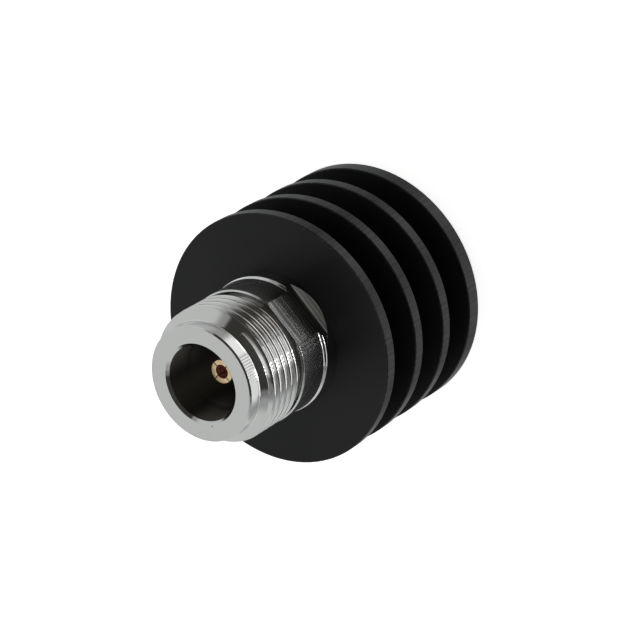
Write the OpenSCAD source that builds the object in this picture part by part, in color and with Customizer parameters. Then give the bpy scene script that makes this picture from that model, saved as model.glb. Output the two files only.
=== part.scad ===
// RF dummy load: a finned heat sink with a screw-coupled coaxial socket on its front.
// The load stands on the rear face of the heat sink, with +Z along its axis towards the mouth.
// All sizes are in millimetres.

/* [Heat sink] */
// Outside diameter of the fins
sink_d = 30; // [27:0.5:40]
// Diameter of the core between the fins
core_d = 19; // [17:0.5:22]
// Length of the heat sink along its axis
sink_len = 19.7; // [17:0.1:30]
// Number of fins, the rear one included
fin_count = 4; // [4:1:7]
// Thickness of each fin, the rear one excepted
fin_t = 1.5; // [1.2:0.1:2.5]
// Thickness of the rear fin
end_fin_t = 2; // [1.6:0.1:4]
// Edge break on the rim of each fin
fin_edge = 0.15; // [0.05:0.05:0.4]
// Fillet at the foot of each fin
fin_fillet = 0.4; // [0.2:0.1:1]
// Metal left behind the blind bore
floor_t = 2.5; // [1.5:0.1:4]

/* [Connector outside] */
// Major diameter of the coupling thread
thread_d = 15.875; // [14:0.125:17]
// Length of the coupling thread at full diameter
thread_len = 4.7; // [4:0.1:9]
// Diameter of the plain nose ahead of the thread
nose_d = 13.5; // [12.5:0.1:14]
// Length of the plain nose
nose_len = 1.7; // [0.5:0.1:3]
// Edge break on the rim of the nose
nose_edge = 0.1; // [0.05:0.05:0.4]
// Width of the relief groove behind the thread
relief_w = 0.7; // [0.3:0.05:1.2]
// Depth of the relief groove below the thread's major diameter
relief_depth = 0.65; // [0.4:0.05:0.9]
// Diameter of the round body
body_d = 16; // [15.5:0.1:18]
// Height of the body's front shoulder above the heat sink
body_len = 6.1; // [4.5:0.1:10]
// Edge break on the body's front shoulder
body_edge = 0.15; // [0.05:0.05:0.4]
// Diameter of the rim that seats on the heat sink
rim_d = 16.5; // [16.2:0.1:18.5]
// Height of the rim below its flare
rim_h = 1.8; // [1:0.1:2.5]
// Height of the flare between the rim and the body
rim_flare = 0.5; // [0.2:0.1:1]
// Distance across the two spanner flats
flat_af = 15; // [13.5:0.25:15.25]
// Height at which the flats begin above the heat sink
flat_foot = 1; // [0.6:0.1:1.6]
// Slope of the wall at the foot of each flat, in degrees
flat_slope = 45; // [30:5:60]

/* [Mouth] */
// Bore diameter at the mouth
mouth_d = 8.82; // [8.4:0.02:9.4]
// Chamfer at the mouth
mouth_chamfer = 0.33; // [0.1:0.01:0.6]
// Depth of the wide entry bore behind the front face
mouth_depth = 3.6; // [2:0.1:3.8]
// Bore diameter of the outer contact
outer_bore_d = 8.13; // [7.6:0.01:8.2]
// Depth of the mating plane behind the front face
plane_depth = 9.1; // [8:0.1:9.6]
// Bore of the coaxial line behind the mating plane
line_d = 7; // [6.4:0.1:7.4]

/* [Centre contact] */
// Outside diameter of the centre contact
contact_d = 2.9; // [2.8:0.02:3.4]
// Bore of the socket
socket_d = 1.5; // [1.4:0.01:1.8]
// Depth of the socket
socket_depth = 5; // [4.5:0.1:6]
// Set-back of the contact's tip behind the front face
contact_setback = 3.95; // [3.9:0.05:5]
// Edge break outside and inside the tip
tip_edge = 0.12; // [0.05:0.01:0.2]
// Number of slots in the socket
slot_count = 4; // [4:2:6]
// Width of each slot
slot_w = 0.12; // [0.1:0.02:0.3]
// Length of each slot
slot_len = 4; // [2.5:0.1:4.5]
// Turn of the slots from the X axis, in degrees
slot_turn = 3; // [-45:0.5:45]
// Diameter of the contact's tail
tail_d = 2.2; // [1.6:0.1:2.4]
// Length of the tail behind the bead
tail_len = 3; // [2:0.1:4]

/* [Inside] */
// Diameter of the threaded spigot
spigot_d = 12; // [11:0.25:13.5]
// Length of the threaded spigot
spigot_len = 6; // [4.5:0.1:8]
// Width of the undercut where the spigot meets the rim
undercut_w = 0.8; // [0.4:0.1:1.5]
// Depth of that undercut
undercut_depth = 0.4; // [0.2:0.05:0.6]
// Bore that takes the insulator bead and its bush
bead_bore_d = 9.2; // [8.6:0.1:9.8]
// Thickness of the insulator bead
bead_len = 3; // [2:0.1:4]
// Metal between the mating plane and the bead
bead_web = 1.4; // [0.8:0.1:2]
// Diameter of the taper sleeve
sleeve_d = 9.2; // [8.4:0.1:10.4]
// Thickness of the sleeve's clamped flange
sleeve_flange_t = 1; // [0.6:0.1:2]
// Diameter of the resistor rod
rod_d = 2.5; // [2:0.05:2.7]
// Depth of rod that each end cap covers
cap_grip = 2.2; // [1.5:0.1:3]
// Floor of each end cap
cap_floor = 0.5; // [0.3:0.1:1]
// Wall of the rear end cap
cap_wall = 0.25; // [0.15:0.05:0.4]
// Edge break on the hidden turned pieces
turned_edge = 0.2; // [0.1:0.05:0.3]
// Radial clearance of the pieces that slide or screw together
fit_gap = 0.03; // [0.01:0.01:0.05]
// Axial room left at the blind ends
end_gap = 0.2; // [0.1:0.05:0.3]

/* [Hidden] */
$fn = 96;
fillet_steps = 4;

// Heat sink
sink_r = sink_d / 2;
core_r = core_d / 2;
fin_pitch = (sink_len - end_fin_t) / (fin_count - 1);
fin_gap = fin_pitch - fin_t;

// Connector outside
thread_r = thread_d / 2;
nose_r = nose_d / 2;
relief_r = thread_r - relief_depth;
body_r = body_d / 2;
rim_r = rim_d / 2;
thread_chamfer = thread_r - nose_r;
shoulder_z = sink_len + body_len;
thread_z = shoulder_z + relief_w;
thread_end_z = thread_z + thread_len;
nose_z = thread_end_z + thread_chamfer;
front_z = nose_z + nose_len;
foot_z = sink_len + flat_foot;
flat_reach = rim_r + body_r;

// Mouth and line
mouth_r = mouth_d / 2;
outer_bore_r = outer_bore_d / 2;
line_r = line_d / 2;
step_z = front_z - mouth_depth;
plane_z = front_z - plane_depth;

// Centre contact
contact_r = contact_d / 2;
socket_r = socket_d / 2;
tail_r = tail_d / 2;
tip_z = front_z - contact_setback;

// Insulator, bush and sleeve
spigot_r = spigot_d / 2;
bead_bore_r = bead_bore_d / 2;
sleeve_r = sleeve_d / 2;
bead_front_z = plane_z - bead_web;
bead_rear_z = bead_front_z - bead_len;
spigot_z = sink_len - spigot_len;
flange_z = spigot_z - sleeve_flange_t;
sleeve_z = floor_t + end_gap;
tail_z = bead_rear_z - tail_len;

// Resistor and end caps
rod_r = rod_d / 2;
rear_cap_r = rod_r + fit_gap + cap_wall;
rod_rear_z = sleeve_z + cap_floor;
rear_cap_z = rod_rear_z + cap_grip;
rod_front_z = tail_z - end_gap - cap_floor;
front_cap_z = rod_front_z - cap_grip;

// Height of the rear face of fin i, counted from the rear fin
function fin_z(i) = i == 0 ? 0 : end_fin_t + fin_gap + (i - 1) * fin_pitch;

// Thickness of fin i
function fin_thickness(i) = i == 0 ? end_fin_t : fin_t;

// Points of a round corner about (r, z), from angle a to angle b
function corner(r, z, a, b) = [
    for (i = [0 : fillet_steps])
        let (turn = a + (b - a) * i / fillet_steps)
        [r + fin_fillet * cos(turn), z + fin_fillet * sin(turn)]
];

// Outline of the rim of fin i, from its rear face to its front face
function fin_rim(i) = [
    [sink_r - fin_edge, fin_z(i)],
    [sink_r, fin_z(i) + fin_edge],
    [sink_r, fin_z(i) + fin_thickness(i) - fin_edge],
    [sink_r - fin_edge, fin_z(i) + fin_thickness(i)]
];

// Outline of the groove in front of fin i, with a fillet at the foot of each fin
function groove(i) = let (
    low = fin_z(i) + fin_thickness(i) + fin_fillet,
    high = fin_z(i + 1) - fin_fillet,
    middle = core_r + fin_fillet
) concat(corner(middle, low, 270, 180), corner(middle, high, 180, 90));

// Fins and grooves in turn, from the rear face to the front face
function fins_outline() = [
    for (i = [0 : fin_count - 1])
        each concat(fin_rim(i), i < fin_count - 1 ? groove(i) : [])
];

// Blind stepped bore, from the front face to the bottom
function sink_bore() = [
    [spigot_r + fit_gap + turned_edge, sink_len],
    [spigot_r + fit_gap, sink_len - turned_edge],
    [spigot_r + fit_gap, flange_z],
    [sleeve_r + fit_gap, flange_z],
    [sleeve_r + fit_gap, floor_t],
    [0, floor_t]
];

// Turned heat sink: fins outside, stepped blind bore inside
module heat_sink() {
    color([0.07, 0.07, 0.075])
        rotate_extrude()
            polygon(concat([[0, 0]], fins_outline(), sink_bore()));
}

// Outside of the connector body, from the rear of the spigot to the front face
function connector_outside() = [
    [spigot_r - turned_edge, spigot_z],
    [spigot_r, spigot_z + turned_edge],
    [spigot_r, sink_len - undercut_w],
    [spigot_r - undercut_depth, sink_len - undercut_w],
    [spigot_r - undercut_depth, sink_len],
    [rim_r, sink_len],
    [rim_r, sink_len + rim_h],
    [body_r, sink_len + rim_h + rim_flare],
    [body_r, shoulder_z - body_edge],
    [body_r - body_edge, shoulder_z],
    [relief_r, shoulder_z],
    [relief_r, thread_z],
    [thread_r, thread_z],
    [thread_r, thread_end_z],
    [nose_r, nose_z],
    [nose_r, front_z - nose_edge],
    [nose_r - nose_edge, front_z]
];

// Inside of the connector body, from the mouth back to the rear of the spigot
function connector_inside() = [
    [mouth_r + mouth_chamfer, front_z],
    [mouth_r, front_z - mouth_chamfer],
    [mouth_r, step_z],
    [outer_bore_r, step_z - mouth_r + outer_bore_r],
    [outer_bore_r, plane_z],
    [line_r, plane_z],
    [line_r, bead_front_z],
    [bead_bore_r, bead_front_z],
    [bead_bore_r, spigot_z]
];

// Metal that the cutter takes off for one spanner flat, on the +Y side
module flat_cut() {
    top_z = shoulder_z + relief_w / 2;
    rotate([90, 0, 90])
        linear_extrude(rim_d, center = true)
            polygon([
                [flat_af / 2, foot_z],
                [flat_af / 2, top_z],
                [flat_af / 2 + flat_reach, top_z],
                [flat_af / 2 + flat_reach, foot_z - flat_reach * tan(flat_slope)]
            ]);
}

// Connector body: one turned piece with two milled spanner flats
module connector_body() {
    color([0.76, 0.76, 0.74])
        difference() {
            rotate_extrude()
                polygon(concat(connector_outside(), connector_inside()));
            for (side = [0, 180])
                rotate([0, 0, side])
                    flat_cut();
        }
}

// Centre contact: slotted socket in front, shoulder on the bead, plain tail behind
module centre_contact() {
    color([0.83, 0.66, 0.35])
        difference() {
            rotate_extrude()
                polygon([
                    [0, tail_z],
                    [tail_r - turned_edge, tail_z],
                    [tail_r, tail_z + turned_edge],
                    [tail_r, bead_front_z],
                    [contact_r, bead_front_z],
                    [contact_r, tip_z - tip_edge],
                    [contact_r - tip_edge, tip_z],
                    [socket_r + tip_edge, tip_z],
                    [socket_r, tip_z - tip_edge],
                    [socket_r, tip_z - socket_depth],
                    [0, tip_z - socket_depth]
                ]);
            for (i = [0 : slot_count / 2 - 1])
                rotate([0, 0, slot_turn + i * 360 / slot_count])
                    translate([-contact_d / 2, -slot_w / 2, tip_z - slot_len])
                        cube([contact_d, slot_w, slot_len]);
        }
}

// Plain turned ring between two heights
module ring(outer_r, inner_r, low_z, high_z) {
    rotate_extrude()
        polygon([
            [inner_r, low_z],
            [outer_r - turned_edge, low_z],
            [outer_r, low_z + turned_edge],
            [outer_r, high_z - turned_edge],
            [outer_r - turned_edge, high_z],
            [inner_r, high_z]
        ]);
}

// Insulator bead that centres the contact in the body
module insulator_bead() {
    color([0.95, 0.95, 0.93])
        ring(bead_bore_r - fit_gap, tail_r + fit_gap, bead_rear_z, bead_front_z);
}

// Bush that keeps the bead in place and carries the line to the rear of the spigot
module retaining_bush() {
    color([0.78, 0.70, 0.45])
        ring(bead_bore_r - fit_gap, line_r, spigot_z, bead_rear_z);
}

// Front end cap: one socket for the contact's tail, one for the resistor
module front_end_cap() {
    color([0.80, 0.78, 0.72])
        rotate_extrude()
            polygon([
                [rod_r + fit_gap, front_cap_z],
                [contact_r, front_cap_z],
                [contact_r, bead_rear_z],
                [tail_r + fit_gap, bead_rear_z],
                [tail_r + fit_gap, tail_z - end_gap],
                [0, tail_z - end_gap],
                [0, rod_front_z],
                [rod_r + fit_gap, rod_front_z]
            ]);
}

// Resistor: ceramic rod with its film
module load_resistor() {
    color([0.25, 0.20, 0.18])
        translate([0, 0, rod_rear_z])
            cylinder(h = rod_front_z - rod_rear_z, r = rod_r);
}

// Rear end cap: a cup on the far end of the rod
module rear_end_cap() {
    color([0.80, 0.78, 0.72])
        rotate_extrude()
            polygon([
                [0, sleeve_z],
                [rear_cap_r, sleeve_z],
                [rear_cap_r, rear_cap_z],
                [rod_r + fit_gap, rear_cap_z],
                [rod_r + fit_gap, rod_rear_z],
                [0, rod_rear_z]
            ]);
}

// Taper sleeve: outer conductor that closes in on the resistor towards its rear end
module taper_sleeve() {
    color([0.78, 0.70, 0.45])
        rotate_extrude()
            polygon([
                [rear_cap_r + fit_gap, sleeve_z],
                [sleeve_r - turned_edge, sleeve_z],
                [sleeve_r, sleeve_z + turned_edge],
                [sleeve_r, flange_z],
                [spigot_r, flange_z],
                [spigot_r, spigot_z],
                [line_r, spigot_z],
                [rear_cap_r + fit_gap, rear_cap_z]
            ]);
}

heat_sink();
connector_body();
centre_contact();
insulator_bead();
retaining_bush();
front_end_cap();
load_resistor();
rear_end_cap();
taper_sleeve();
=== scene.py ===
# %% [markdown]
# A radio-frequency dummy load soaks up the power of a transmitter and turns it into heat. The real one is
# a black finned heat sink, turned from one bar of aluminium, with a nickel-plated coaxial socket screwed
# into its front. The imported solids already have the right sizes. Here the pieces that show are turned
# again with finer edges, the coupling thread is cut, and every surface gets its finish.

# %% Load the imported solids
import math

import bpy
from mathutils import Matrix, Vector


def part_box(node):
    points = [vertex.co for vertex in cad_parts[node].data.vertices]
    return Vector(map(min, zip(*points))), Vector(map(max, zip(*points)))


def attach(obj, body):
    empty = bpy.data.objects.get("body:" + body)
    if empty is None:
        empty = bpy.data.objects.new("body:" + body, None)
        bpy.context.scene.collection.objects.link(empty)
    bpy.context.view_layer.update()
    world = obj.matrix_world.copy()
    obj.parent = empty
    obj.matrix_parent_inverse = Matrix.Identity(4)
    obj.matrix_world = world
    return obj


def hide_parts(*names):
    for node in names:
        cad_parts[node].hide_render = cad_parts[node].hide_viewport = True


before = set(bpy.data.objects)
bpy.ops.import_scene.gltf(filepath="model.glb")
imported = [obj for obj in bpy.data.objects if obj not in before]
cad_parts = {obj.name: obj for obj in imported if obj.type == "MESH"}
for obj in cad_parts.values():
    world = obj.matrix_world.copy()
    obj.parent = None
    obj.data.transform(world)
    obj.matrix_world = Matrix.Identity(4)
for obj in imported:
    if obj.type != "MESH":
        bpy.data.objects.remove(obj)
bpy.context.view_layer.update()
scene = bpy.context.scene
print("solids loaded:", sorted(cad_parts))

# %% [markdown]
# The sizes come from two places. What a node's box can tell is read from the frame, so the new pieces
# can't drift away from the solids. The rest are the few sizes that a turner would read off the drawing.
# They could be measured from the meshes, but named values are easier to follow.

# %% Sizes of the heat sink


def mm(length):
    """Gives a length in millimetres as Blender's metres."""
    return length / 1000


sink_radius, _, sink_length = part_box("heat_sink")[1]
fin_count = 4
fin_thickness = mm(1.5)
rear_fin_thickness = mm(2)
fin_pitch = (sink_length - rear_fin_thickness) / (fin_count - 1)
core_radius = mm(9.5)
fin_fillet = mm(0.4)
fin_edge = mm(0.15)
print("sink radius and length, mm:", round(sink_radius * 1000, 3), round(sink_length * 1000, 3))

# %% [markdown]
# The connector's outside goes up in steps: a rim that seats on the heat sink, a short flare, the round
# body with its two spanner flats, a relief groove, the coupling thread, a plain nose and the front face.
# Each height is counted from the piece below or above it, so one change moves the rest along.

# %% Sizes of the connector
rim_radius, _, front_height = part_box("connector_body")[1]
spigot_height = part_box("connector_body")[0].z
spigot_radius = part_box("taper_sleeve")[1].x
rim_height = sink_length + mm(1.8)
flare_height = rim_height + mm(0.5)
body_radius = mm(8)
flat_depth = mm(7.5)
flat_foot = sink_length + mm(1)
thread_radius = mm(15.875 / 2)
thread_pitch = mm(25.4 / 24)
nose_radius = mm(6.75)
nose_height = front_height - mm(1.7)
thread_end = nose_height - (thread_radius - nose_radius)
thread_start = thread_end - mm(4.7)
relief_width = mm(0.7)
relief_radius = thread_radius - mm(0.65)
shoulder_height = thread_start - relief_width
print("thread from and to, mm:", round(thread_start * 1000, 3), round(thread_end * 1000, 3))

# %% [markdown]
# Inside, the bore narrows in steps from the mouth to the bead, which holds the centre contact on the
# axis.

# %% Sizes of the bore, the bead and the contact
mouth_radius = mm(4.41)
mouth_chamfer = mm(0.33)
step_height = front_height - mm(3.6)
outer_bore_radius = mm(8.13 / 2)
plane_height = front_height - mm(9.1)
line_radius = mm(3.5)
bead_low, bead_high = (corner.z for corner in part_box("insulator_bead"))
bead_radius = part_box("insulator_bead")[1].x
fit_gap = mm(0.03)
tail_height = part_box("centre_contact")[0].z
contact_radius, _, tip_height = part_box("centre_contact")[1]
socket_radius = mm(0.75)
tip_edge = mm(0.12)
print("contact radius and set-back, mm:", round(contact_radius * 1000, 3),
      round((front_height - tip_height) * 1000, 3))

# %% [markdown]
# The camera stands where the picture was taken from. Its place was found from the ellipses that the fins
# and the mouth draw in the picture: their widths give the tilt, and their centres give the distance. The
# load lies on its side there, so the camera is rolled about its own line of sight.

# %% Camera
view_azimuth = math.radians(-98.339)
view_elevation = math.radians(49.663)
view_roll = math.radians(-120.752)
view_distance = mm(275.051)
view_aim = Vector((mm(-0.893), mm(-1.721), mm(13.444)))
view_lens = 135


def camera_matrix(azimuth, elevation, roll, distance, aim):
    """Places a camera on a sphere round the aim, rolled about its line of sight."""
    outward = Vector((
        math.cos(elevation) * math.cos(azimuth),
        math.cos(elevation) * math.sin(azimuth),
        math.sin(elevation),
    ))
    level = Vector((0, 0, 1)).cross(outward).normalized()
    upright = outward.cross(level)
    right = math.cos(roll) * level + math.sin(roll) * upright
    up = math.cos(roll) * upright - math.sin(roll) * level
    turn = Matrix((right, up, outward)).transposed().to_4x4()
    return Matrix.Translation(aim + distance * outward) @ turn


camera_data = bpy.data.cameras.new("camera")
camera_data.lens = view_lens
camera_data.clip_start = mm(1)
camera = bpy.data.objects.new("camera", camera_data)
camera.matrix_world = camera_matrix(view_azimuth, view_elevation, view_roll, view_distance, view_aim)
scene.collection.objects.link(camera)
scene.camera = camera
print("camera at, mm:", [round(x * 1000, 1) for x in camera.location])

# %% [markdown]
# Every node tree below is wired by the same few helpers. A value that is a socket is linked, and a plain
# number is set on the input itself.

# %% Helpers for node trees


def feed(tree, socket, value):
    """Links a socket to an input, or sets the input to a plain value."""
    if isinstance(value, bpy.types.NodeSocket):
        tree.links.new(value, socket)
    else:
        socket.default_value = value


def add_node(tree, kind, inputs=None, **settings):
    """Adds a node, sets its options, then feeds its inputs by name."""
    node = tree.nodes.new(kind)
    for name, value in settings.items():
        setattr(node, name, value)
    for name, value in (inputs or {}).items():
        feed(tree, node.inputs[name], value)
    return node


def calc(tree, operation, *values):
    """Adds a Math node and gives its result."""
    node = tree.nodes.new("ShaderNodeMath")
    node.operation = operation
    for socket, value in zip(node.inputs, values):
        feed(tree, socket, value)
    return node.outputs["Value"]


def blend(tree, mask, below, above, kind="RGBA"):
    """Mixes two colours, or two numbers, by a mask."""
    node = add_node(tree, "ShaderNodeMix", data_type=kind)
    sockets = [socket for socket in node.inputs if socket.enabled]
    for socket, value in zip(sockets, (mask, below, above)):
        feed(tree, socket, value)
    return [socket for socket in node.outputs if socket.enabled][0]


def split(tree, place):
    """Gives the three parts of a place or a direction."""
    return add_node(tree, "ShaderNodeSeparateXYZ", {"Vector": place}).outputs


print("helpers:", ", ".join(helper.__name__ for helper in (feed, add_node, calc, blend, split)))

# %% [markdown]
# A node group is a small tool of its own with named inputs. These helpers start one and place one,
# whether it makes meshes or shades them.

# %% Helpers for node groups
FLOAT = "NodeSocketFloat"
VECTOR = "NodeSocketVector"
GEOMETRY = "NodeSocketGeometry"
WHOLE = "NodeSocketInt"
SWITCH = "NodeSocketBool"
OBJECT = "NodeSocketObject"
MATERIAL = "NodeSocketMaterial"


def new_group(name, kind, inputs, outputs):
    """Starts a node group with named inputs and outputs."""
    tree = bpy.data.node_groups.new(name, kind)
    for socket_name, socket_kind in inputs.items():
        tree.interface.new_socket(socket_name, in_out="INPUT", socket_type=socket_kind)
    for socket_name, socket_kind in outputs.items():
        tree.interface.new_socket(socket_name, in_out="OUTPUT", socket_type=socket_kind)
    return tree, tree.nodes.new("NodeGroupInput").outputs, tree.nodes.new("NodeGroupOutput").inputs


def use_group(tree, group, inputs):
    """Places a node group in a tree and feeds it."""
    kind = "GeometryNodeGroup" if group.bl_idname == "GeometryNodeTree" else "ShaderNodeGroup"
    node = tree.nodes.new(kind)
    node.node_tree = group
    for name, value in inputs.items():
        feed(tree, node.inputs[name], value)
    return node.outputs


print("groups:", new_group.__name__, use_group.__name__)

# %% [markdown]
# Polished metal shows the room more than itself, so the light is painted all round as soft panels on the
# sky. Lamps could do it too, but panels in the world have no distance, so they sit the same in every
# view. One panel is a window of directions: an azimuth, an elevation, half a width and half a height,
# with soft edges.

# %% A soft panel of light


def panel_group():
    """Shader group: how much of a soft panel is seen in a direction."""
    tree, given, result = new_group(
        "Soft panel", "ShaderNodeTree",
        {"Around": FLOAT, "Above": FLOAT, "Azimuth": FLOAT, "Elevation": FLOAT,
         "Half width": FLOAT, "Half height": FLOAT, "Softness": FLOAT},
        {"Mask": FLOAT},
    )
    turned = calc(tree, "SUBTRACT", given["Around"], given["Azimuth"])
    off_azimuth = calc(tree, "WRAP", turned, math.pi, -math.pi)
    off_elevation = calc(tree, "SUBTRACT", given["Above"], given["Elevation"])
    masks = []
    for off, half in ((off_azimuth, given["Half width"]), (off_elevation, given["Half height"])):
        fade = add_node(tree, "ShaderNodeMapRange", {
            "Value": calc(tree, "ABSOLUTE", off),
            "From Min": calc(tree, "ADD", half, given["Softness"]),
            "From Max": calc(tree, "SUBTRACT", half, given["Softness"]),
        }, interpolation_type="SMOOTHSTEP")
        masks.append(fade.outputs["Result"])
    feed(tree, result["Mask"], calc(tree, "MULTIPLY", *masks))
    return tree


soft_panel = panel_group()
print("panel inputs:", [item.name for item in soft_panel.interface.items_tree])

# %% [markdown]
# The load stands in a tent of white cloth, which makes the room pale on every side. What shapes the
# plating is where the tent stops. The camera looks in through a dark gap, and that draws the black bands
# round the thread. A striped lamp hangs above and to the left, a second one stands low, and the table
# below throws its image back. Brighter cloth level with the load, on both sides, lights the edges of the
# thread and the flare, and dim cloth behind keeps the face of the heat sink dark. Each panel is laid over
# the ones before it, pale or dark.

# %% Panels of the studio
# Azimuth, elevation, half width, half height and softness in degrees, then the light itself
tent_light = (0.80, 0.82, 0.81, 1)
studio_panels = {
    "table": (0, -60, 200, 45, 5, (0.63, 0.65, 0.65, 1)),
    "dim cloth behind": (104, 28, 13, 12, 5, (0.3, 0.31, 0.31, 1)),
    "dim cloth above": (40, 55, 20, 8, 5, (0.3, 0.31, 0.31, 1)),
    "bright horizon right": (8, -10, 20, 10, 4, (1.08, 1.1, 1.09, 1)),
    "bright horizon left": (158, -10, 16, 10, 4, (1.1, 1.12, 1.11, 1)),
    "dim cloth left": (-176, 32, 16, 48, 8, (0.5, 0.51, 0.51, 1)),
    "dark cloth left": (-176, 58, 22, 11, 6, (0.28, 0.28, 0.28, 1)),
    "dim cloth right": (-12, 56, 14, 14, 8, (0.52, 0.53, 0.53, 1)),
    "gap end right": (-28, 22, 8, 26, 6, (0.42, 0.42, 0.42, 1)),
    "gap end left": (-167, 24, 7, 28, 5, (0.27, 0.27, 0.27, 1)),
    "camera gap": (-98, 26, 65, 29, 3, (0.055, 0.052, 0.048, 1)),
    "gap below right": (-62, -16, 26, 12, 6, (0.06, 0.056, 0.05, 1)),
    "warm cloth above": (-62, 68, 24, 10, 8, (0.55, 0.5, 0.44, 1)),
    "dark corner above": (-30, 60, 18, 14, 7, (0.07, 0.058, 0.048, 1)),
    "lamp": (-134, 66, 24, 9, 4, (0.95, 0.95, 0.94, 1)),
    "lamp stripes": (-134, 66, 22, 9, 4, (1.5, 1.5, 1.48, 1)),
    "low lamp": (-132, -12, 34, 9, 2, (2.3, 2.3, 2.27, 1)),
    "low lamp stripes": (-130, -23, 9, 16, 2, (15, 15, 14.8, 1)),
    "table left": (107, -50, 26, 16, 6, (0.85, 0.87, 0.87, 1)),
    "table front": (-72, -45, 22, 24, 6, (1.35, 1.35, 1.33, 1)),
    "table edge": (-80, -30, 16, 8, 5, (3.4, 3.4, 3.35, 1)),
    "table glow": (-152, -50, 32, 18, 7, (1.15, 1.17, 1.17, 1)),
    "lamp image": (-117, -48, 26, 22, 4, (0.75, 0.76, 0.76, 1)),
    "lamp image stripes": (-117, -48, 25, 22, 3, (1.45, 1.45, 1.43, 1)),
    "dark post right": (-30, -40, 12, 30, 5, (0.48, 0.47, 0.46, 1)),
    "dark post left": (153, -50, 14, 18, 6, (0.45, 0.46, 0.46, 1)),
}
striped_panels = ("lamp stripes", "low lamp stripes", "lamp image stripes")
stripe_count = 66
stripe_edge = 0.35


def stripes_across(tree, around):
    """Fine upright stripes of a lamp, as a mask."""
    wave = calc(tree, "SINE", calc(tree, "MULTIPLY", around, stripe_count))
    return add_node(tree, "ShaderNodeMapRange", {
        "Value": wave, "From Min": -stripe_edge, "From Max": stripe_edge,
    }).outputs["Result"]


def studio_light(tree, direction):
    """Lays the panels over the tent, one after the other."""
    parts = split(tree, direction)
    around = calc(tree, "ARCTAN2", parts["Y"], parts["X"])
    above = calc(tree, "ARCSINE", parts["Z"])
    stripes = stripes_across(tree, around)
    light = tent_light
    for name, (azimuth, elevation, width, height, softness, shade) in studio_panels.items():
        mask = use_group(tree, soft_panel, {
            "Around": around,
            "Above": above,
            "Azimuth": math.radians(azimuth),
            "Elevation": math.radians(elevation),
            "Half width": math.radians(width),
            "Half height": math.radians(height),
            "Softness": math.radians(softness),
        })["Mask"]
        if name in striped_panels:
            mask = calc(tree, "MULTIPLY", mask, stripes)
        light = blend(tree, mask, light, shade)
    return light


print("panels:", ", ".join(studio_panels))

# %% [markdown]
# The camera itself sees plain white behind the load. Only mirrors and shading see the panels.

# %% Room round the load
pale_room = (1, 1, 1, 1)


def studio_world():
    """Builds the world: plain and pale to the camera, a tent with panels to everything else."""
    world = bpy.data.worlds.new("studio")
    world.use_nodes = True
    tree = world.node_tree
    tree.nodes.clear()
    direction = add_node(tree, "ShaderNodeTexCoord").outputs["Generated"]
    room = add_node(tree, "ShaderNodeBackground", {"Color": studio_light(tree, direction)})
    plain = add_node(tree, "ShaderNodeBackground", {"Color": pale_room})
    seen = add_node(tree, "ShaderNodeLightPath").outputs["Is Camera Ray"]
    mix = add_node(tree, "ShaderNodeMixShader", {"Fac": seen})
    for socket, shader in zip(mix.inputs[1:], (room, plain)):
        feed(tree, socket, shader.outputs["Background"])
    add_node(tree, "ShaderNodeOutputWorld", {"Surface": mix.outputs["Shader"]})
    return world


scene.world = studio_world()
scene.view_settings.view_transform = "Standard"
print("world nodes:", len(scene.world.node_tree.nodes))

# %% [markdown]
# The floor is a plain pale sheet. It glows a little, so that it comes out nearly white and keeps only a
# faint shadow under the load. Mirrors don't see it: round faces mirror the panels below instead.

# %% Floor
floor_half = mm(3000)
floor_colour = (0.9, 0.9, 0.9, 1)
floor_glow = 0.75


def pale_floor():
    """Makes the sheet that the load stands on."""
    mesh = bpy.data.meshes.new("floor")
    corners = [(-1, -1), (1, -1), (1, 1), (-1, 1)]
    mesh.from_pydata([(floor_half * x, floor_half * y, 0) for x, y in corners], [], [(0, 1, 2, 3)])
    material = bpy.data.materials.new("pale_floor")
    material.use_nodes = True
    shader = material.node_tree.nodes["Principled BSDF"]
    shader.inputs["Base Color"].default_value = floor_colour
    shader.inputs["Roughness"].default_value = 1
    shader.inputs["Specular IOR Level"].default_value = 0
    shader.inputs["Emission Color"].default_value = pale_room
    shader.inputs["Emission Strength"].default_value = floor_glow
    mesh.materials.append(material)
    floor = bpy.data.objects.new("floor", mesh)
    floor.visible_glossy = False
    scene.collection.objects.link(floor)
    return floor


floor = pale_floor()
print("floor is", floor.dimensions.x, "m wide")

# %% [markdown]
# Turning leaves very fine rings on every surface: circles on a face, hoops on a cylinder. Both are the
# same rule, because a ring is where the distance from the axis and the height stay equal. So the texture
# reads those two numbers and not the angle, and needs no unwrapped map.

# %% Turning marks
ring_detail = 1


def across_axis(tree, parts):
    """A place as seen along the axis, with its height left out."""
    return add_node(tree, "ShaderNodeCombineXYZ", {"X": parts["X"], "Y": parts["Y"]}).outputs["Vector"]


def marks_group():
    """Shader group: fine rings from the lathe, as a height from 0 to 1."""
    tree, given, result = new_group(
        "Turning marks", "ShaderNodeTree",
        {"Position": VECTOR, "Spacing": FLOAT}, {"Height": FLOAT, "Radius": FLOAT},
    )
    parts = split(tree, given["Position"])
    across = across_axis(tree, parts)
    radius = add_node(tree, "ShaderNodeVectorMath", {0: across}, operation="LENGTH").outputs["Value"]
    section = add_node(tree, "ShaderNodeCombineXYZ", {"X": radius, "Y": parts["Z"]}).outputs["Vector"]
    rings = add_node(tree, "ShaderNodeTexNoise", {
        "Vector": section, "Scale": calc(tree, "DIVIDE", 1, given["Spacing"]), "Detail": ring_detail,
    })
    feed(tree, result["Height"], rings.outputs["Fac"])
    feed(tree, result["Radius"], radius)
    return tree


turning_marks = marks_group()
print("turning marks:", [item.name for item in turning_marks.interface.items_tree])

# %% [markdown]
# No surface is evenly glossy: handling, plating and dye leave soft patches. One group gives all the
# materials their patches, as a number between a low and a high value.

# %% Soft patches
noise_middle = 0.5
patch_contrast = 0.2
patch_detail = 3


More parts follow.
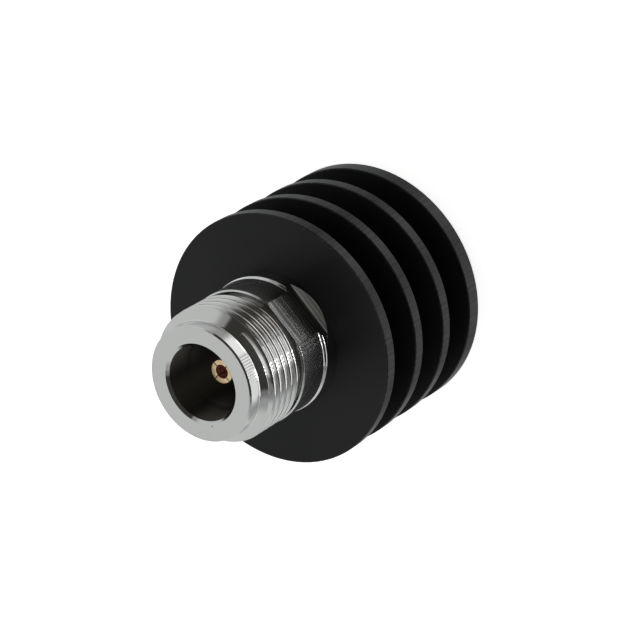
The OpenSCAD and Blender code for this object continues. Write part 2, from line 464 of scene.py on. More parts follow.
def patches_group():
    """Shader group: a value that wanders softly between two ends."""
    tree, given, result = new_group(
        "Soft patches", "ShaderNodeTree",
        {"Position": VECTOR, "Size": FLOAT, "Low": FLOAT, "High": FLOAT}, {"Value": FLOAT},
    )
    noise = add_node(tree, "ShaderNodeTexNoise", {
        "Vector": given["Position"], "Scale": calc(tree, "DIVIDE", 1, given["Size"]), "Detail": patch_detail,
    })
    spread = add_node(tree, "ShaderNodeMapRange", {
        "Value": noise.outputs["Fac"],
        "From Min": noise_middle - patch_contrast, "From Max": noise_middle + patch_contrast,
        "To Min": given["Low"], "To Max": given["High"],
    })
    feed(tree, result["Value"], spread.outputs["Result"])
    return tree


soft_patches = patches_group()


def patchy(tree, place, size, low=0, high=1):
    """Places the group of soft patches and gives its value."""
    return use_group(tree, soft_patches, {
        "Position": place, "Size": size, "Low": low, "High": high,
    })["Value"]


print("soft patches:", [item.name for item in soft_patches.interface.items_tree])

# %% [markdown]
# Fine rings do one more thing: they spread a reflection across the marks and keep it sharp along them.
# That is why a lamp shows as a bright line on turned metal. The shader calls it anisotropy, and needs to
# know which way the marks run. They run round the axis, so a radial tangent gives it, turned by a quarter
# to lie across them.

# %% Helpers for the finishes
quarter_turn = 0.25


def new_finish(name):
    """Starts a material and gives it, its tree, its shader and the piece's own coordinates."""
    material = bpy.data.materials.new(name)
    material.use_nodes = True
    tree = material.node_tree
    place = add_node(tree, "ShaderNodeTexCoord").outputs["Object"]
    return material, tree, tree.nodes["Principled BSDF"], place


def add_bump(tree, shader, height, depth, strength):
    """Feeds a height into the shader's normal."""
    bump = add_node(tree, "ShaderNodeBump", {"Height": height, "Distance": depth, "Strength": strength})
    feed(tree, shader.inputs["Normal"], bump.outputs["Normal"])


def spread_gloss(tree, shader, amount):
    """Spreads reflections across the turning marks."""
    around = add_node(tree, "ShaderNodeTangent", direction_type="RADIAL", axis="Z")
    feed(tree, shader.inputs["Tangent"], around.outputs["Tangent"])
    shader.inputs["Anisotropic"].default_value = amount
    shader.inputs["Anisotropic Rotation"].default_value = quarter_turn


print("finish helpers:", new_finish.__name__, add_bump.__name__, spread_gloss.__name__)

# %% [markdown]
# Black anodising is dye in a thin glassy layer of oxide. It is not a metal to the eye any more: dark all
# through, with a weak satin gloss on top. The rings from the lathe still show under it. On the rims of
# the fins, where hands and tables rub, the colour is lighter in fine streaks along the axis: partly dye
# rubbed off, partly painted sheen for the gloss that the rims catch.

# %% Black anodised aluminium
dye_deep = (0.0065, 0.0066, 0.0068, 1)
dye_thin = (0.0095, 0.0096, 0.0098, 1)
dye_fresh = (0, 0, 0, 1)
# Lighter colour for the rims: partly wear, partly painted sheen
dye_worn_and_sheen = (0.026, 0.026, 0.0265, 1)
dye_gloss = 0.2
dye_spread = 0.7
dye_roughness = (0.31, 0.37)
dye_patch = mm(7)
streak_size = mm(0.25)
rim_reach = mm(0.2)
sink_mark = mm(0.09)
mark_depth = mm(0.002)
sink_mark_strength = 0.25


def anodised_finish():
    """Satin black with fine turning marks, and rims lightened by wear and by painted sheen."""
    material, tree, shader, place = new_finish("black_anodised")
    marks = use_group(tree, turning_marks, {"Position": place, "Spacing": sink_mark})
    on_rim = calc(tree, "GREATER_THAN", marks["Radius"], sink_radius - rim_reach)
    dye = blend(tree, marks["Height"], dye_deep, dye_thin)
    streaks = patchy(tree, across_axis(tree, split(tree, place)), streak_size)
    # Lighter streaks on the rims: partly wear, partly painted sheen
    rim_wear_and_sheen = blend(tree, streaks, dye_fresh, dye_worn_and_sheen)
    feed(tree, shader.inputs["Base Color"], blend(tree, on_rim, dye, rim_wear_and_sheen))
    feed(tree, shader.inputs["Roughness"], patchy(tree, place, dye_patch, *dye_roughness))
    shader.inputs["Specular IOR Level"].default_value = dye_gloss
    spread_gloss(tree, shader, dye_spread)
    add_bump(tree, shader, marks["Height"], mark_depth, sink_mark_strength)
    return material


finishes = {"black_anodised": anodised_finish()}
print("finishes so far:", ", ".join(finishes))

# %% [markdown]
# The spanner flats and the slopes at their feet are milled, so their marks are straight lines across the
# flat. The lines are long in X and short in Z, which is a noise squeezed in one direction. A flat is
# known by its plane: its distance from the axis in Y, and for the slope the sum of Y and Z.

# %% Milled flats
plane_reach = mm(0.008)
mill_stretch = (0.03, 0.03, 1)
mill_contrast = 0.1
mill_detail = 2


def milled_group():
    """Shader group: where the flats are, and the lines that the cutter left there."""
    tree, given, result = new_group(
        "Milled flats", "ShaderNodeTree", {"Position": VECTOR, "Spacing": FLOAT},
        {"Flat": FLOAT, "Slope": FLOAT, "Mask": FLOAT, "Height": FLOAT},
    )
    parts = split(tree, given["Position"])
    off_axis = calc(tree, "ABSOLUTE", parts["Y"])
    on_flat = calc(tree, "COMPARE", off_axis, flat_depth, plane_reach)
    slant = calc(tree, "ADD", off_axis, parts["Z"])
    on_slope = calc(tree, "COMPARE", slant, flat_depth + flat_foot, plane_reach)
    behind = calc(tree, "LESS_THAN", parts["Z"], shoulder_height + plane_reach)
    on_flat = calc(tree, "MULTIPLY", on_flat, behind)
    on_slope = calc(tree, "MULTIPLY", on_slope, behind)
    feed(tree, result["Flat"], on_flat)
    feed(tree, result["Slope"], on_slope)
    feed(tree, result["Mask"], calc(tree, "MAXIMUM", on_flat, on_slope))
    squeezed = add_node(tree, "ShaderNodeVectorMath", {
        0: given["Position"], 1: mill_stretch,
    }, operation="MULTIPLY").outputs["Vector"]
    lines = add_node(tree, "ShaderNodeTexNoise", {
        "Vector": squeezed, "Scale": calc(tree, "DIVIDE", 1, given["Spacing"]), "Detail": mill_detail,
    })
    clear = add_node(tree, "ShaderNodeMapRange", {
        "Value": lines.outputs["Fac"],
        "From Min": noise_middle - mill_contrast, "From Max": noise_middle + mill_contrast,
    })
    feed(tree, result["Height"], clear.outputs["Result"])
    return tree


milled_flats = milled_group()
print("milled flats:", [item.name for item in milled_flats.interface.items_tree])

# %% [markdown]
# The socket is brass under bright nickel. The plating is brightest on the thread, the nose and the face.
# The body behind them is turned more coarsely, and the tank hardly plates the deep bore, which stays dull
# and brownish. The step inside the bore is darker still, which is painted shade. One tiny pit in the front
# face is a flaw of the plating.

# %% Bright nickel
nickel = (0.555, 0.56, 0.55, 1)
nickel_worn = (0.27, 0.27, 0.265, 1)
bore_film = (0.105, 0.094, 0.082, 1)
# Painted shade for the step in the bore: darker than the bore, so that its upward face shows no ring of
# light
step_painted_shade = (0.068, 0.061, 0.054, 1)
pit_place = (mm(-4.31), mm(2.32), 0)
pit_radius = mm(0.07)
step_drop = mouth_radius - outer_bore_radius
body_middle = (flare_height + shoulder_height) / 2
plate_mark = mm(0.05)
plate_mark_depth = mm(0.0015)
mark_strength = 0.2
plate_patch = mm(1.5)
plate_roughness = (0.07, 0.1)
body_roughness = 0.145
flat_roughness = 0.17
slope_roughness = 0.42
film_roughness = 0.55
plate_spread = 1
mill_spacing = mm(0.26)


def nickel_finish():
    """Bright plating outside, dull inside the bore with painted shade on its step, milled lines on the
    flats.
    """
    material, tree, shader, place = new_finish("bright_nickel")
    marks = use_group(tree, turning_marks, {"Position": place, "Spacing": plate_mark})
    mill = use_group(tree, milled_flats, {"Position": place, "Spacing": mill_spacing})
    parts = split(tree, place)
    in_bore = calc(tree, "LESS_THAN", marks["Radius"], mouth_radius + fit_gap)
    below_mouth = calc(tree, "LESS_THAN", parts["Z"], front_height - mouth_chamfer)
    dull = calc(tree, "MULTIPLY", in_bore, below_mouth)
    across = across_axis(tree, parts)
    off_pit = add_node(tree, "ShaderNodeVectorMath", {0: across, 1: pit_place}, operation="DISTANCE")
    on_face = calc(tree, "GREATER_THAN", parts["Z"], front_height - plane_reach)
    pit = calc(tree, "MULTIPLY", calc(tree, "LESS_THAN", off_pit.outputs["Value"], pit_radius), on_face)
    dark = calc(tree, "MAXIMUM", dull, pit)
    streaks = calc(tree, "MULTIPLY", mill["Mask"], mill["Height"])
    plate = blend(tree, streaks, nickel, nickel_worn)
    # Painted shade on the step inside the bore
    step_shade_mask = calc(tree, "COMPARE", parts["Z"], step_height - step_drop / 2, step_drop / 2 + plane_reach)
    bore_film_and_step_shade = blend(tree, step_shade_mask, bore_film, step_painted_shade)
    feed(tree, shader.inputs["Base Color"], blend(tree, dark, plate, bore_film_and_step_shade))
    on_body = calc(tree, "COMPARE", parts["Z"], body_middle, shoulder_height - body_middle - plane_reach)
    rough = patchy(tree, place, plate_patch, *plate_roughness)
    for mask, value in (
        (on_body, body_roughness), (mill["Flat"], flat_roughness),
        (mill["Slope"], slope_roughness), (dark, film_roughness),
    ):
        rough = blend(tree, mask, rough, value, "FLOAT")
    feed(tree, shader.inputs["Roughness"], rough)
    shader.inputs["Metallic"].default_value = 1
    spread_gloss(tree, shader, plate_spread)
    lines = blend(tree, mill["Mask"], marks["Height"], mill["Height"], "FLOAT")
    add_bump(tree, shader, lines, plate_mark_depth, mark_strength)
    return material


finishes["bright_nickel"] = nickel_finish()
print("finishes so far:", ", ".join(finishes))

# %% [markdown]
# The centre contact is beryllium copper under a thin gold plate, which is pale and a little pink where it
# is thin. The plate doesn't reach into the hole, which keeps a dull reddish film.

# %% Gold plate
gold_pale = (0.84, 0.65, 0.36, 1)
gold_pink = (0.8, 0.56, 0.38, 1)
socket_film = (0.5, 0.22, 0.18, 1)
gold_patch = mm(0.7)
gloss_patch = mm(0.4)
gold_roughness = (0.24, 0.34)


def gold_finish():
    """Pale gold with pink patches, dark in the socket."""
    material, tree, shader, place = new_finish("gold_plate")
    marks = use_group(tree, turning_marks, {"Position": place, "Spacing": plate_mark})
    in_socket = calc(tree, "LESS_THAN", marks["Radius"], socket_radius + plane_reach)
    below_tip = calc(tree, "LESS_THAN", split(tree, place)["Z"], tip_height - tip_edge)
    inside = calc(tree, "MULTIPLY", in_socket, below_tip)
    plate = blend(tree, patchy(tree, place, gold_patch), gold_pale, gold_pink)
    feed(tree, shader.inputs["Base Color"], blend(tree, inside, plate, socket_film))
    feed(tree, shader.inputs["Roughness"], patchy(tree, place, gloss_patch, *gold_roughness))
    feed(tree, shader.inputs["Metallic"], calc(tree, "SUBTRACT", 1, inside))
    add_bump(tree, shader, marks["Height"], mark_depth, mark_strength)
    return material


finishes["gold_plate"] = gold_finish()
print("finishes so far:", ", ".join(finishes))

# %% [markdown]
# The pieces that never show have simpler finishes with soft patches: white plastic, raw brass, silvered
# cups and the brown film of the resistor.

# %% Hidden finishes
gloss_swing = 0.15

# Two colours, the size of the patches, the roughness, and 1 for a metal
hidden_looks = {
    "ptfe": ((0.84, 0.84, 0.82, 1), (0.78, 0.78, 0.75, 1), mm(1.2), 0.5, 0),
    "plain_brass": ((0.72, 0.52, 0.24, 1), (0.62, 0.43, 0.19, 1), mm(1.5), 0.35, 1),
    "silver_plate": ((0.86, 0.85, 0.82, 1), (0.72, 0.7, 0.64, 1), mm(1), 0.3, 1),
    "film_ceramic": ((0.11, 0.07, 0.05, 1), (0.07, 0.045, 0.035, 1), mm(0.8), 0.55, 0),
}


def patchy_finish(name, colour, other_colour, patch, roughness, metallic):
    """A finish with soft patches of colour and gloss."""
    material, tree, shader, place = new_finish(name)
    gloss = patchy(tree, place, patch, roughness * (1 - gloss_swing), roughness * (1 + gloss_swing))
    marks = use_group(tree, turning_marks, {"Position": place, "Spacing": plate_mark})
    feed(tree, shader.inputs["Base Color"], blend(tree, patchy(tree, place, patch), colour, other_colour))
    feed(tree, shader.inputs["Roughness"], gloss)
    shader.inputs["Metallic"].default_value = metallic
    add_bump(tree, shader, marks["Height"], mark_depth, mark_strength)
    return material


for name, look in hidden_looks.items():
    finishes[name] = patchy_finish(name, *look)
print("all finishes:", ", ".join(finishes))

# %% [markdown]
# A turned piece is an outline swept about the axis. Blender's Screw modifier could do it, but a node tree
# has named inputs, and the same tree can climb as it turns, which is what cutting a thread is. The tree
# lays a grid of points, one column for each step of the turn and one row for each point of the outline,
# and then moves each point to its place.

# %% The lathe as a node tree
merge_reach = mm(0.001)
half_step = 0.5


def lathe_group():
    """Geometry group: sweeps an outline (radius in X, height in Z) about the Z axis."""
    tree, given, result = new_group(
        "Turn on the lathe", "GeometryNodeTree",
        {"Outline": GEOMETRY, "Steps per turn": WHOLE, "Turns": WHOLE, "Lead": FLOAT, "Run out": SWITCH},
        {"Piece": GEOMETRY},
    )
    size = add_node(tree, "GeometryNodeAttributeDomainSize", {
        "Geometry": given["Outline"],
    }, component="MESH")
    count = size.outputs["Point Count"]
    columns = calc(tree, "MULTIPLY", given["Steps per turn"], given["Turns"])
    rows = calc(tree, "ADD", count, 1)
    grid = add_node(tree, "GeometryNodeMeshGrid", {
        "Vertices X": calc(tree, "ADD", columns, 1), "Vertices Y": rows,
    })
    index = add_node(tree, "GeometryNodeInputIndex").outputs["Index"]
    column = calc(tree, "FLOOR", calc(tree, "DIVIDE", calc(tree, "ADD", index, half_step), rows))
    row = calc(tree, "SUBTRACT", index, calc(tree, "MULTIPLY", column, rows))
    at_start = calc(tree, "LESS_THAN", column, half_step)
    at_end = calc(tree, "GREATER_THAN", column, calc(tree, "SUBTRACT", columns, half_step))
    pointed = calc(tree, "MULTIPLY", calc(tree, "ADD", at_start, at_end), given["Run out"])
    corner = calc(tree, "MODULO", row, count)
    corner = calc(tree, "MULTIPLY", corner, calc(tree, "SUBTRACT", 1, pointed))
    sample = add_node(tree, "GeometryNodeSampleIndex", {
        "Geometry": given["Outline"],
        "Index": calc(tree, "ADD", corner, half_step),
    }, data_type="FLOAT_VECTOR", domain="POINT")
    feed(tree, sample.inputs["Value"], add_node(tree, "GeometryNodeInputPosition").outputs["Position"])
    place = split(tree, sample.outputs["Value"])
    turn = calc(tree, "DIVIDE", column, given["Steps per turn"])
    angle = calc(tree, "MULTIPLY", turn, math.tau)
    moved = add_node(tree, "ShaderNodeCombineXYZ", {
        "X": calc(tree, "MULTIPLY", place["X"], calc(tree, "COSINE", angle)),
        "Y": calc(tree, "MULTIPLY", place["X"], calc(tree, "SINE", angle)),
        "Z": calc(tree, "MULTIPLY_ADD", turn, given["Lead"], place["Z"]),
    })
    swept = add_node(tree, "GeometryNodeSetPosition", {
        "Geometry": grid.outputs["Mesh"], "Position": moved.outputs["Vector"],
    })
    closed = add_node(tree, "GeometryNodeMergeByDistance", {
        "Geometry": swept.outputs["Geometry"], "Distance": merge_reach,
    })
    feed(tree, result["Piece"], closed.outputs["Geometry"])
    return tree


lathe = lathe_group()
print("lathe inputs:", [item.name for item in lathe.interface.items_tree])

# %% [markdown]
# Every tree ends the same way: round surfaces are shaded smoothly, real corners stay sharp, and the piece
# gets its material. Copies are made real, because an export leaves instances behind.

# %% Finishing a mesh in a node tree
crease_angle = math.radians(15)


def finish_group():
    """Geometry group: smooth shading with sharp corners, then the material."""
    tree, given, result = new_group(
        "Finish the mesh", "GeometryNodeTree", {"Piece": GEOMETRY, "Finish": MATERIAL}, {"Piece": GEOMETRY},
    )
    smooth = add_node(tree, "GeometryNodeSetShadeSmooth", {
        "Geometry": given["Piece"], "Shade Smooth": True}, domain="FACE")
    angle = add_node(tree, "GeometryNodeInputMeshEdgeAngle").outputs["Unsigned Angle"]
    creased = add_node(tree, "GeometryNodeSetShadeSmooth", {
        "Geometry": smooth.outputs["Geometry"],
        "Selection": calc(tree, "GREATER_THAN", angle, crease_angle),
        "Shade Smooth": False,
    }, domain="EDGE")
    real = add_node(tree, "GeometryNodeRealizeInstances", {"Geometry": creased.outputs["Geometry"]})
    dressed = add_node(tree, "GeometryNodeSetMaterial", {
        "Geometry": real.outputs["Geometry"], "Material": given["Finish"],
    })
    feed(tree, result["Piece"], dressed.outputs["Geometry"])
    return tree


finish_mesh = finish_group()
print("finish inputs:", [item.name for item in finish_mesh.interface.items_tree])

# %% [markdown]
# The simplest piece is one turn of the lathe and the finish. The heat sink and the bead are made with
# this tree.

# %% Tree for a plain turned piece


def turned_tree():
    """Geometry tree: one plain turned piece."""
    tree, given, result = new_group(
        "Turned piece", "GeometryNodeTree",
        {"Outline": GEOMETRY, "Steps per turn": WHOLE, "Finish": MATERIAL}, {"Piece": GEOMETRY},
    )
    swept = use_group(tree, lathe, {
        "Outline": given["Outline"], "Steps per turn": given["Steps per turn"],
        "Turns": 1, "Lead": 0, "Run out": False,
    })
    done = use_group(tree, finish_mesh, {"Piece": swept["Piece"], "Finish": given["Finish"]})
    feed(tree, result["Piece"], done["Piece"])
    return tree


turned_piece = turned_tree()
print("turned piece has", len(turned_piece.nodes), "nodes")

# %% [markdown]
# An outline is written as its corners, each with the radius that breaks its edge. Real edges are never
# sharp, and it is the small round that catches a line of light. A spare point on each side of a round
# keeps the flat next to it truly flat in the shading.

# %% Outlines with broken edges
arc_steps = 8
edge_break = mm(0.04)
spare_reach = mm(0.02)


def round_outline(corners):
    """Points of a closed outline from corners (radius, height, edge round). A round of 0 stays sharp."""
    points = []
    for i, (radius, height, edge) in enumerate(corners):
        here = Vector((radius, height))
        if edge == 0:
            points.append(here)
            continue
        back = (Vector(corners[i - 1][:2]) - here).normalized()
        ahead = (Vector(corners[(i + 1) % len(corners)][:2]) - here).normalized()
        half = back.angle(ahead) / 2
        reach = edge / math.tan(half)
        centre = here + (back + ahead).normalized() * (edge / math.sin(half))
        first = here + back * reach - centre
        last = here + ahead * reach - centre
        begin = math.atan2(first.y, first.x)
        sweep = math.remainder(math.atan2(last.y, last.x) - begin, math.tau)
        points.append(here + back * (reach + spare_reach))
        for step in range(arc_steps + 1):
            turn = begin + sweep * step / arc_steps
            points.append(centre + edge * Vector((math.cos(turn), math.sin(turn))))
        points.append(here + ahead * (reach + spare_reach))
    return points


print("points in each round:", arc_steps + 3)

# %% [markdown]
# An outline becomes a mesh of loose points, a node tree turns it into a piece, and the piece is kept as a
# plain mesh. Then it takes the place of its solid.

# %% From outline to piece
steps_per_turn = 192


def outline_object(name, points):
    """A mesh of loose points, with the radius in X and the height in Z."""
    mesh = bpy.data.meshes.new(name)
    mesh.from_pydata([(radius, 0, height) for radius, height in points], [], [])
    made = bpy.data.objects.new(name, mesh)
    scene.collection.objects.link(made)
    return made


def bake_piece(piece, tree, values):
    """Runs a geometry tree on a piece and keeps the result as a plain mesh."""
    modifier = piece.modifiers.new("shape", "NODES")
    modifier.node_group = tree
    for item in tree.interface.items_tree:
        if item.in_out == "INPUT" and item.name in values:
            modifier[item.identifier] = values[item.name]
    depsgraph = bpy.context.evaluated_depsgraph_get()
    mesh = bpy.data.meshes.new_from_object(piece.evaluated_get(depsgraph))
    piece.modifiers.clear()
    piece.data = mesh
    mesh.name = piece.name
    mesh.calc_loop_triangles()
    print(piece.name, "has", len(mesh.loop_triangles), "triangles")


def place_piece(piece, node):
    """Seats a finished piece on the part in place of its solid."""
    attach(piece, "root")
    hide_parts(node)


print("steps in each turn:", steps_per_turn)

# %% [markdown]
# The heat sink is one bar with grooves cut into it, which leaves four fins on a core. A blind bore from
# the front takes the inside of the load. The fins repeat, so a loop writes their corners.

# %% Heat sink
sleeve_bore_radius = mm(4.63)
spigot_bore_radius = spigot_radius + fit_gap
flange_height = spigot_height - mm(1)
bore_floor = mm(2.5)
bore_chamfer = mm(0.2)


def heat_sink_outline():
    """Corners of the heat sink: rear face, fins and grooves, front face, bore."""
    corners = [(0, 0, 0)]
    for fin in range(fin_count):
        front = rear_fin_thickness + fin * fin_pitch
        rear = front - fin_thickness if fin else 0
        if fin:
            corners.append((core_radius, rear, fin_fillet))
        corners += [(sink_radius, rear, fin_edge), (sink_radius, front, fin_edge)]
        if fin < fin_count - 1:
            corners.append((core_radius, front, fin_fillet))
    corners += [
        (spigot_bore_radius + bore_chamfer, sink_length, 0),
        (spigot_bore_radius, sink_length - bore_chamfer, 0),
        (spigot_bore_radius, flange_height, 0),
        (sleeve_bore_radius, flange_height, 0),
        (sleeve_bore_radius, bore_floor, 0),
        (0, bore_floor, 0),
    ]
    return corners


heat_sink = outline_object("finned_heat_sink", round_outline(heat_sink_outline()))
bake_piece(heat_sink, turned_piece, {"Steps per turn": steps_per_turn, "Finish": finishes["black_anodised"]})
place_piece(heat_sink, "heat_sink")

# %% [markdown]
# The connector body is turned, threaded and milled, in that order, and its tree does the same. The two
# flats are one cutter copied round the axis, and so are the slots of the contact later. One group makes
# such copies.

# %% Copies round the axis


def ring_group():
    """Geometry group: copies a shape round the Z axis."""
    tree, given, result = new_group(
        "Copies round the axis", "GeometryNodeTree",
        {"Shape": GEOMETRY, "Count": WHOLE, "First angle": FLOAT}, {"Copies": GEOMETRY},
    )
    places = add_node(tree, "GeometryNodeMeshLine", {"Count": given["Count"], "Offset": (0, 0, 0)})
    index = add_node(tree, "GeometryNodeInputIndex").outputs["Index"]
    step = calc(tree, "DIVIDE", math.tau, given["Count"])
    turn = add_node(tree, "ShaderNodeCombineXYZ", {
        "Z": calc(tree, "MULTIPLY_ADD", index, step, given["First angle"]),
    })
    copies = add_node(tree, "GeometryNodeInstanceOnPoints", {
        "Points": places.outputs["Mesh"], "Instance": given["Shape"], "Rotation": turn.outputs["Vector"],
    })
    real = add_node(tree, "GeometryNodeRealizeInstances", {"Geometry": copies.outputs["Instances"]})
    feed(tree, result["Copies"], real.outputs["Geometry"])
    return tree


copies_round = ring_group()
print("copies:", [item.name for item in copies_round.interface.items_tree])

# %% [markdown]
# The thread is a tool that climbs one pitch each turn: the lathe group sweeps it, a guard keeps it off
# the body behind the relief groove, and a boolean takes it out of the blank. Two cutters then take off
# the spanner flats. A boolean can leave points on top of each other, so each cut ends with a merge.

# %% Cutting tree for the connector body


def cut(tree, blank, *tools):
    """Takes tools out of a blank."""
    node = add_node(tree, "GeometryNodeMeshBoolean", operation="DIFFERENCE", solver="MANIFOLD")
    tree.links.new(blank, node.inputs["Mesh 1"])
    for tool in tools:
        tree.links.new(tool, node.inputs["Mesh 2"])
    clean = add_node(tree, "GeometryNodeMergeByDistance", {
        "Geometry": node.outputs["Mesh"], "Distance": merge_reach,
    })
    return clean.outputs["Geometry"]


def connector_tree():
    """Geometry tree: turned blank, minus the thread groove, minus the flats."""
    tree, given, result = new_group(
        "Threaded body", "GeometryNodeTree",
        {"Outline": GEOMETRY, "Thread tool": OBJECT, "Guard": OBJECT, "Flat cutter": OBJECT,
         "Pitch": FLOAT, "Turns": WHOLE, "Flats": WHOLE, "First flat": FLOAT,
         "Steps per turn": WHOLE, "Finish": MATERIAL},
        {"Piece": GEOMETRY},
    )
    shapes = {}
    for name in ("Thread tool", "Guard", "Flat cutter"):
        shapes[name] = add_node(tree, "GeometryNodeObjectInfo", {"Object": given[name]}).outputs["Geometry"]
    round_values = {"Steps per turn": given["Steps per turn"], "Turns": 1, "Lead": 0, "Run out": False}
    blank = use_group(tree, lathe, {"Outline": given["Outline"], **round_values})["Piece"]
    guard = use_group(tree, lathe, {"Outline": shapes["Guard"], **round_values})["Piece"]
    groove = use_group(tree, lathe, {
        "Outline": shapes["Thread tool"], "Steps per turn": given["Steps per turn"],
        "Turns": given["Turns"], "Lead": given["Pitch"], "Run out": True,
    })["Piece"]
    flats = use_group(tree, copies_round, {
        "Shape": shapes["Flat cutter"], "Count": given["Flats"], "First angle": given["First flat"],
    })["Copies"]
    threaded = cut(tree, blank, cut(tree, groove, guard))
    milled = cut(tree, threaded, flats)
    done = use_group(tree, finish_mesh, {"Piece": milled, "Finish": given["Finish"]})
    feed(tree, result["Piece"], done["Piece"])
    return tree


threaded_body = connector_tree()
print("threaded body has", len(threaded_body.nodes), "nodes")

# %% [markdown]
# The blank of the connector body is turned from its rear end to its mouth and back through the bore. The
# flare above the rim is rounded at both ends, and each round shows as a thin bright line.

# %% Blank of the connector body
body_edge = mm(0.15)
spigot_edge = mm(0.2)
undercut_width = mm(0.8)
undercut_depth = mm(0.4)
flare_round = mm(0.4)
nose_root_round = mm(0.35)
nose_edge = mm(0.18)
lead_lift = mm(0.07)
lead_round = mm(0.2)
flare_steep = mm(0.1)
fine_break = mm(0.02)
bead_bore_radius = bead_radius + fit_gap

connector_corners = [
    (spigot_radius - spigot_edge, spigot_height, 0),
    (spigot_radius, spigot_height + spigot_edge, 0),
    (spigot_radius, sink_length - undercut_width, 0),
    (spigot_radius - undercut_depth, sink_length - undercut_width, 0),
    (spigot_radius - undercut_depth, sink_length, 0),
    (rim_radius, sink_length, edge_break),
    (rim_radius, rim_height + flare_steep, flare_round),
    (body_radius, flare_height - flare_steep, flare_round),
    (body_radius, shoulder_height - body_edge, edge_break),
    (body_radius - body_edge, shoulder_height, edge_break),
    (relief_radius, shoulder_height, 0),
    (relief_radius, thread_start, 0),
    (thread_radius, thread_start, 0),
    (thread_radius, thread_end + lead_lift, lead_round),
    (nose_radius, nose_height, nose_root_round),
    (nose_radius, front_height - nose_edge, fine_break),
    (nose_radius - nose_edge, front_height, fine_break),
    (mouth_radius + mouth_chamfer, front_height, edge_break),
    (mouth_radius, front_height - mouth_chamfer, edge_break),
    (mouth_radius, step_height, 0),
    (outer_bore_radius, step_height - mouth_radius + outer_bore_radius, 0),
    (outer_bore_radius, plane_height, 0),
    (line_radius, plane_height, 0),
    (line_radius, bead_high, 0),
    (bead_bore_radius, bead_high, 0),
    (bead_bore_radius, spigot_height, 0),
]
connector_body = outline_object("threaded_connector_body", round_outline(connector_corners))
print("blank outline has", len(connector_body.data.vertices), "points")

# %% [markdown]
# The thread tool is one groove in section: straight flanks at 30 degrees, and crests that polishing and
# plating have rounded. The rounds matter, because each one shows a dark line next to a bright one. The
# groove starts so far below the thread that the crests lie where the picture shows them.

# %% Thread tool and guard
thread_turns = 8
thread_first = thread_start - mm(1.848)
flank_tilt = math.radians(60)
crest_round = mm(0.3)
crest_stop = math.radians(8)
crest_steps = 6
root_half = mm(0.035)
tool_room = mm(1)


def thread_half():
    """Half of the groove's section, from crest to root: radius and distance from its middle."""
    centre = thread_radius - crest_round
    half = []
    for step in range(crest_steps + 1):
        turn = crest_stop + (flank_tilt - crest_stop) * step / crest_steps
        half.append((centre + crest_round * math.cos(turn), thread_pitch / 2 - crest_round * math.sin(turn)))
    flank_radius, flank_half = half[-1]
    half.append((flank_radius - (flank_half - root_half) * math.tan(flank_tilt), root_half))
    return [(thread_radius + tool_room, half[0][1])] + half


groove_half = thread_half()
thread_tool = outline_object(
    "thread_tool",
    [(radius, thread_first + off) for radius, off in groove_half]
    + [(radius, thread_first - off) for radius, off in reversed(groove_half)],
)
guard_top = shoulder_height + relief_width / 2
guard_foot = thread_first - thread_pitch
guard_reach = thread_radius + tool_room * 2
thread_guard = outline_object("thread_guard", [
    (relief_radius - tool_room, guard_foot),
    (guard_reach, guard_foot),
    (guard_reach, guard_top),
    (relief_radius - tool_room, guard_top),
])
print("thread root radius, mm:", round(groove_half[-1][0] * 1000, 3))

# %% [markdown]
# A spanner flat is milled with the end of a cutter whose corner is bevelled, which leaves a sloped foot.
# The metal that it takes off is a short bar with that slope on its underside.

# %% Cutter for the flats


def flat_cutter_object():
    """The metal that a milling cutter takes off for one flat, on the +X side, with a sloped foot."""
    reach = rim_radius
    section = [
        (flat_depth, flat_foot),
        (flat_depth + reach, flat_foot - reach),
        (flat_depth + reach, guard_top),
        (flat_depth, guard_top),
    ]
    mesh = bpy.data.meshes.new("flat_cutter")
    sides = [(x, side * rim_radius, z) for side in (-1, 1) for x, z in section]
    faces = [(0, 1, 2, 3), (7, 6, 5, 4)] + [(i, i + 4, (i + 1) % 4 + 4, (i + 1) % 4) for i in range(4)]
    mesh.from_pydata(sides, [], faces)
    made = bpy.data.objects.new("flat_cutter", mesh)
    scene.collection.objects.link(made)
    return made


flat_cutter = flat_cutter_object()
print("flat cutter size, mm:", [round(x * 1000, 2) for x in flat_cutter.dimensions])

# %% [markdown]
# Now the blank goes through the tree: thread first, flats after.

# %% Connector body
flat_count = 2
first_flat = math.pi / 2
bake_piece(connector_body, threaded_body, {
    "Thread tool": thread_tool, "Guard": thread_guard, "Flat cutter": flat_cutter,
    "Pitch": thread_pitch, "Turns": thread_turns, "Flats": flat_count, "First flat": first_flat,
    "Steps per turn": steps_per_turn, "Finish": finishes["bright_nickel"],
})
place_piece(connector_body, "connector_body")
for tool in (thread_tool, thread_guard, flat_cutter):
    bpy.data.objects.remove(tool)

# %% [markdown]
# The centre contact is a gold-plated socket. Four saw cuts make it springy, so that it grips the pin. One
# blade is copied round the axis and cut away, as on the connector body.

# %% Tree for the slotted contact
blade_middle = 0.75


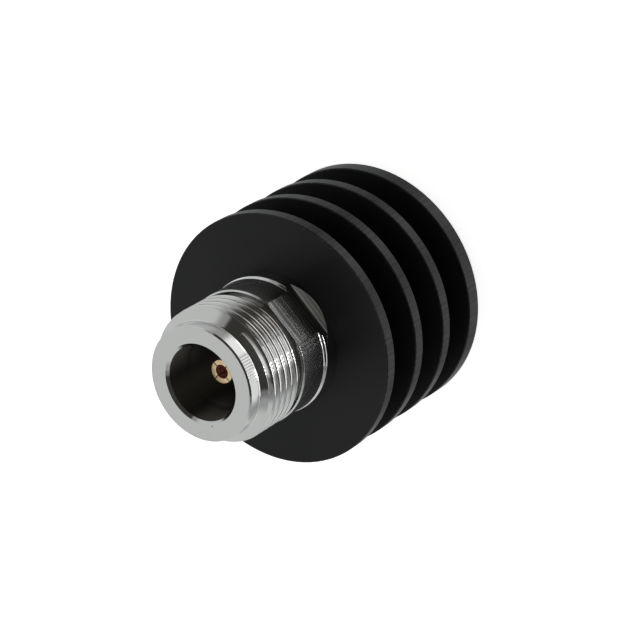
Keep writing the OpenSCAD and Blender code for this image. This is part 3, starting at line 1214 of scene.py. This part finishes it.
def contact_tree():
    """Geometry tree: turned contact, minus its slots."""
    tree, given, result = new_group(
        "Slotted contact", "GeometryNodeTree",
        {"Outline": GEOMETRY, "Slot length": FLOAT, "Slot width": FLOAT, "Slots": WHOLE, "First slot": FLOAT,
         "Contact radius": FLOAT, "Tip height": FLOAT, "Steps per turn": WHOLE, "Finish": MATERIAL},
        {"Piece": GEOMETRY},
    )
    blank = use_group(tree, lathe, {
        "Outline": given["Outline"], "Steps per turn": given["Steps per turn"],
        "Turns": 1, "Lead": 0, "Run out": False,
    })["Piece"]
    size = add_node(tree, "ShaderNodeCombineXYZ", {
        "X": given["Contact radius"], "Y": given["Slot width"],
        "Z": calc(tree, "MULTIPLY", given["Slot length"], 2),
    })
    blade = add_node(tree, "GeometryNodeMeshCube", {"Size": size.outputs["Vector"]})
    place = add_node(tree, "ShaderNodeCombineXYZ", {
        "X": calc(tree, "MULTIPLY", given["Contact radius"], blade_middle), "Z": given["Tip height"],
    })
    moved = add_node(tree, "GeometryNodeTransform", {
        "Geometry": blade.outputs["Mesh"], "Translation": place.outputs["Vector"],
    })
    blades = use_group(tree, copies_round, {
        "Shape": moved.outputs["Geometry"], "Count": given["Slots"], "First angle": given["First slot"],
    })["Copies"]
    done = use_group(tree, finish_mesh, {"Piece": cut(tree, blank, blades), "Finish": given["Finish"]})
    feed(tree, result["Piece"], done["Piece"])
    return tree


slotted_contact = contact_tree()
print("slotted contact has", len(slotted_contact.nodes), "nodes")

# %% [markdown]
# The contact's outline runs from its thin tail, which goes through the bead, to the tip and down into the
# socket.

# %% Centre contact
slot_count = 4
slot_width = mm(0.12)
slot_length = mm(4)
slot_turn = math.radians(3)
socket_depth = mm(5)
tail_radius = mm(1.1)
tail_edge = mm(0.2)
contact_steps = steps_per_turn // 2

contact_corners = [
    (0, tail_height, 0),
    (tail_radius - tail_edge, tail_height, 0),
    (tail_radius, tail_height + tail_edge, 0),
    (tail_radius, bead_high, 0),
    (contact_radius, bead_high, 0),
    (contact_radius, tip_height, tip_edge),
    (socket_radius, tip_height, tip_edge),
    (socket_radius, tip_height - socket_depth, 0),
    (0, tip_height - socket_depth, 0),
]
centre_contact = outline_object("slotted_centre_contact", round_outline(contact_corners))
bake_piece(centre_contact, slotted_contact, {
    "Slot length": slot_length, "Slot width": slot_width, "Slots": slot_count, "First slot": slot_turn,
    "Contact radius": contact_radius, "Tip height": tip_height,
    "Steps per turn": contact_steps, "Finish": finishes["gold_plate"],
})
place_piece(centre_contact, "centre_contact")

# %% [markdown]
# Deep in the bore a white plastic bead carries the contact. It is a plain turned ring with broken edges.

# %% Insulator bead
bead_hole_radius = tail_radius + fit_gap
bead_edge = mm(0.2)
bead_corners = [
    (bead_hole_radius, bead_low, 0),
    (bead_radius, bead_low, bead_edge),
    (bead_radius, bead_high, bead_edge),
    (bead_hole_radius, bead_high, 0),
]
insulator_bead = outline_object("plastic_bead", round_outline(bead_corners))
bake_piece(insulator_bead, turned_piece, {"Steps per turn": steps_per_turn, "Finish": finishes["ptfe"]})
place_piece(insulator_bead, "insulator_bead")

# %% [markdown]
# The pieces sealed inside keep their solids. They still get their own finish, because someone may open
# the model.

# %% Hidden pieces
hidden_finishes = {
    "retaining_bush": "plain_brass",
    "front_end_cap": "silver_plate",
    "load_resistor": "film_ceramic",
    "rear_end_cap": "silver_plate",
    "taper_sleeve": "plain_brass",
}
for node_name, finish_name in hidden_finishes.items():
    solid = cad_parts[node_name]
    for slot in solid.material_slots:
        slot.material = finishes[finish_name]
    print(node_name, "is finished in", finish_name)
